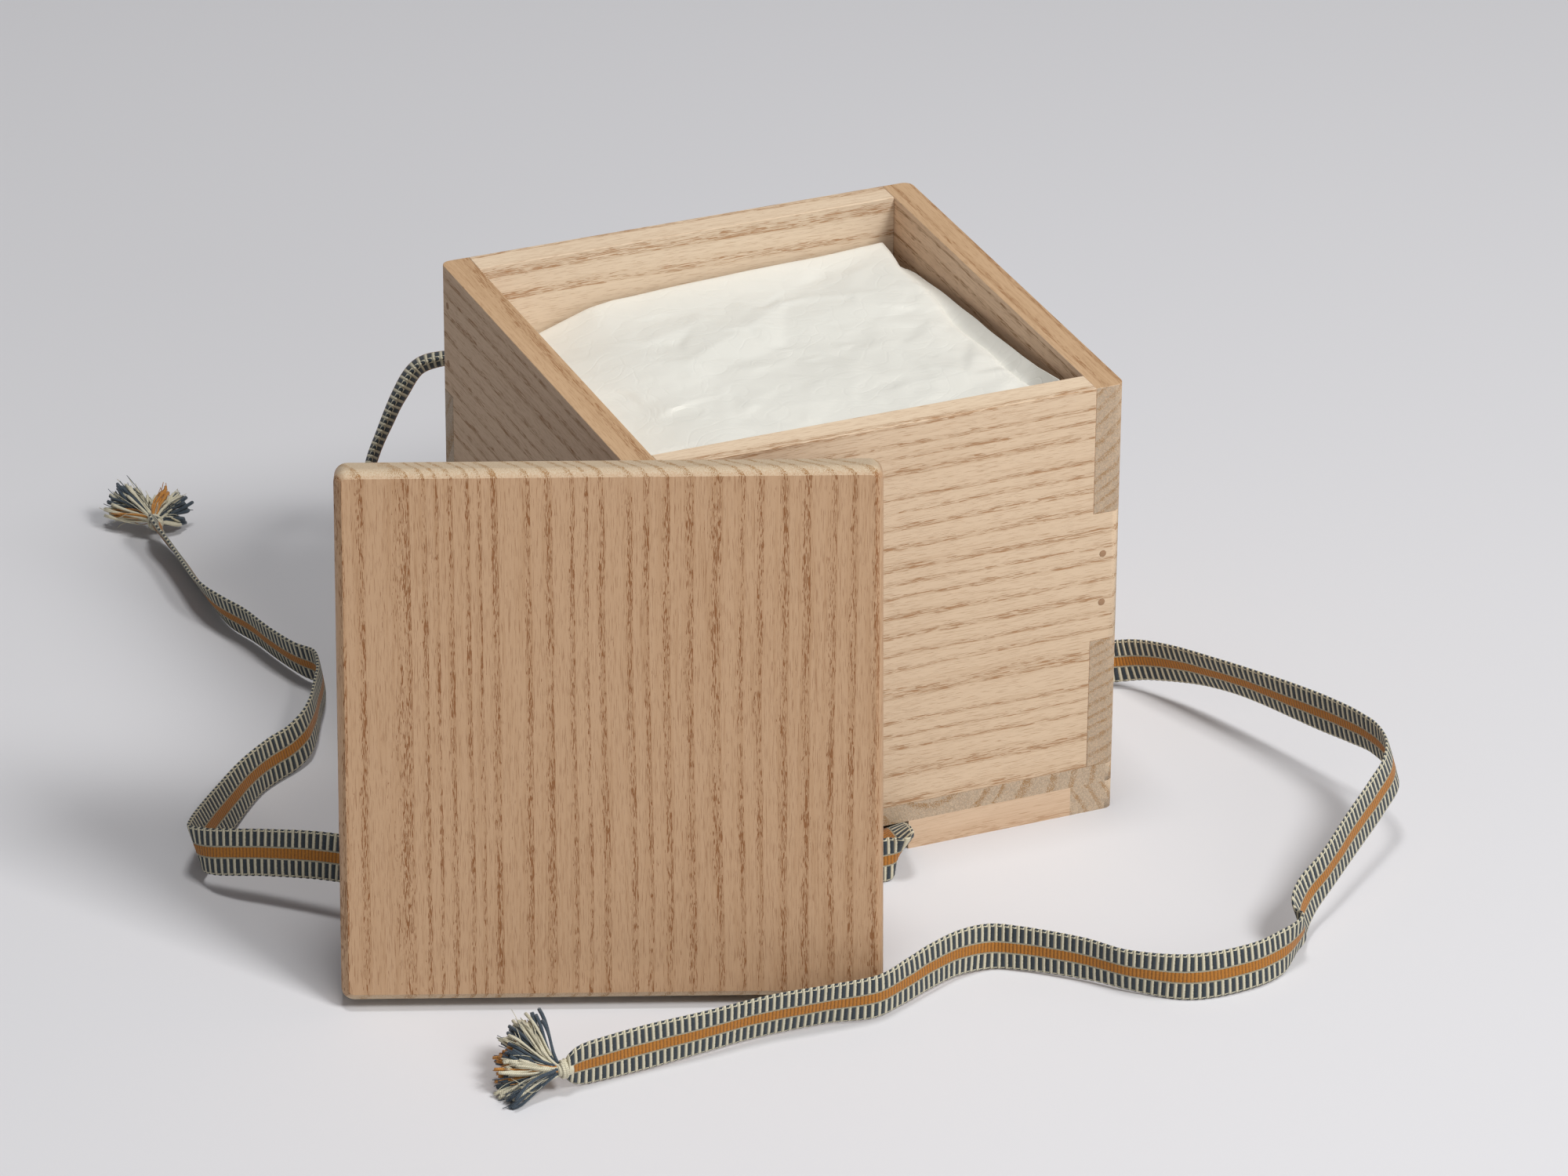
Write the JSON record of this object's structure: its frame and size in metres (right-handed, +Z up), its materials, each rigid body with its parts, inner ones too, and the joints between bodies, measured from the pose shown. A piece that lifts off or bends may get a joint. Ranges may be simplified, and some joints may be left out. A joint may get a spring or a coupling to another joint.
{
  "type": "wooden storage box",
  "caption": "Square box of pale wood with pegged finger joints, its battened lid leaning on a corner, crumpled packing paper inside and a flat woven ribbon under the feet.",
  "frame": {"origin": "on the floor, below the centre of the bounding box of the box and its leaning lid, with the ribbon left out", "axes": "+Z up; +X along the front wall from left to right as seen from the front, where the lid leans on the front left corner; +Y from the front wall to the back wall"},
  "size_m": [0.3316, 0.403, 0.148],
  "materials": {
    "box_wood": "bare planed paulownia, matt, fine straight grain with open pores",
    "lid_wood": "bare planed paulownia, matt, a little darker with age, brown pore lines",
    "peg_wood": "bare hard wood, brown end grain",
    "ribbon_weave": "flat tubular cotton weave with fine cross ribs: ladders of dark blue and cream along both edges and an ochre middle",
    "thread": "loose cotton thread, cream with a tuft of ochre",
    "packing_paper": "thin unprinted ivory paper, crumpled, matt"
  },
  "bodies": {
    "box": {"wall_front": "box_wood", "wall_back": "box_wood", "wall_left": "box_wood", "wall_right": "box_wood", "bottom_board": "box_wood", "foot_left_front": "box_wood", "foot_left_back": "box_wood", "foot_right_front": "box_wood", "foot_right_back": "box_wood", "foot_front_left": "box_wood", "foot_front_right": "box_wood", "foot_back_left": "box_wood", "foot_back_right": "box_wood", "peg_front_1": "peg_wood", "peg_front_2": "peg_wood", "peg_front_3": "peg_wood", "peg_front_4": "peg_wood", "peg_back_1": "peg_wood", "peg_back_2": "peg_wood", "peg_back_3": "peg_wood", "peg_back_4": "peg_wood", "peg_left_1": "peg_wood", "peg_left_2": "peg_wood", "peg_left_3": "peg_wood", "peg_left_4": "peg_wood", "peg_left_5": "peg_wood", "peg_left_6": "peg_wood", "peg_left_7": "peg_wood", "peg_left_8": "peg_wood", "peg_right_1": "peg_wood", "peg_right_2": "peg_wood", "peg_right_3": "peg_wood", "peg_right_4": "peg_wood", "peg_right_5": "peg_wood", "peg_right_6": "peg_wood", "peg_right_7": "peg_wood", "peg_right_8": "peg_wood", "ribbon_front_tail": "ribbon_weave", "ribbon_rear_tail": "ribbon_weave", "ribbon_corner_loop": "ribbon_weave", "ribbon_under_front": "ribbon_weave", "ribbon_under_side": "ribbon_weave", "binding_front": "thread", "binding_rear": "thread", "tassel_front": "thread", "tassel_rear": "thread"},
    "lid": {"lid_board": "lid_wood", "lid_batten_lower": "lid_wood", "lid_batten_upper": "lid_wood", "lid_peg_1": "peg_wood", "lid_peg_2": "peg_wood", "lid_peg_3": "peg_wood", "lid_peg_4": "peg_wood", "lid_peg_5": "peg_wood", "lid_peg_6": "peg_wood"},
    "packing": {"packing_paper": "packing_paper"}
  },
  "joints": [
    {"name": "lid_lift", "type": "slide", "parent": "box", "child": "lid", "axis": [0, 0, 1], "range_m": [0, 0.16]},
    {"name": "paper_lift", "type": "slide", "parent": "box", "child": "packing", "axis": [0, 0, 1], "range_m": [0, 0.125]}
  ]
}
